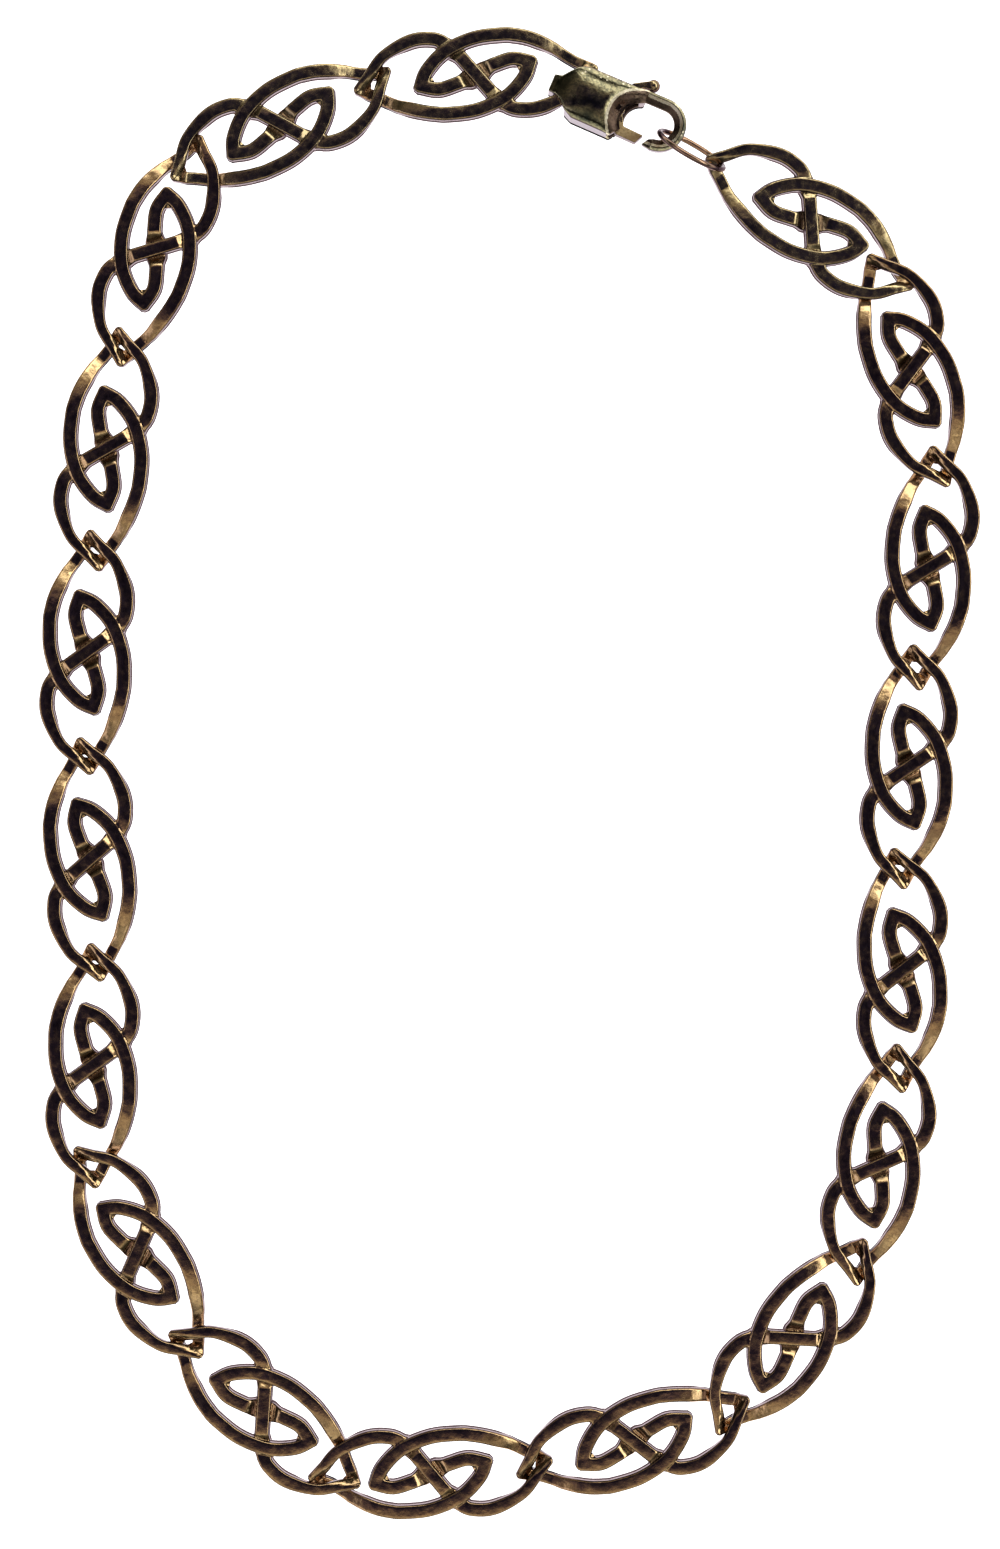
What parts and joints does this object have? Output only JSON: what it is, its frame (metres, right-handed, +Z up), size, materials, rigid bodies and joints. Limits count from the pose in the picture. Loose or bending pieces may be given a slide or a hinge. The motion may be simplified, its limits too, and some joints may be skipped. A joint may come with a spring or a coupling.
{
  "type": "link necklace",
  "caption": "Short necklace of interlocking cast knot links, closed by a lobster clasp with a thumb lever on a jump ring, laid flat in its loop.",
  "frame": {"origin": "middle of the laid loop, on the surface that it lies on", "axes": "+Z up from the surface, +Y towards the clasp's end of the loop, +X so that the loop's long side runs along Y"},
  "size_m": [0.0982, 0.1559, 0.0079],
  "materials": {
    "link_gold": "polished",
    "clasp_gold": "worn polished",
    "ring_gold": "polished"
  },
  "bodies": {
    "necklace": {"link_01": "link_gold", "link_02": "link_gold", "link_03": "link_gold", "link_04": "link_gold", "link_05": "link_gold", "link_06": "link_gold", "link_07": "link_gold", "link_08": "link_gold", "link_09": "link_gold", "link_10": "link_gold", "link_11": "link_gold", "link_12": "link_gold", "link_13": "link_gold", "link_14": "link_gold", "link_15": "link_gold", "link_16": "link_gold", "link_17": "link_gold", "link_18": "link_gold", "clasp_body": "clasp_gold", "clasp_pin": "clasp_gold", "jump_ring": "ring_gold"},
    "lever": {"clasp_lever": "clasp_gold"}
  },
  "joints": [
    {"name": "lever_hinge", "type": "hinge", "parent": "necklace", "child": "lever", "pos_m": [0.01132, 0.06973, 0.0019], "axis": [0, 0, 1], "range_deg": [0, 20], "stiffness_Nm_per_rad": 0.0005, "springref_deg": -11.46}
  ]
}
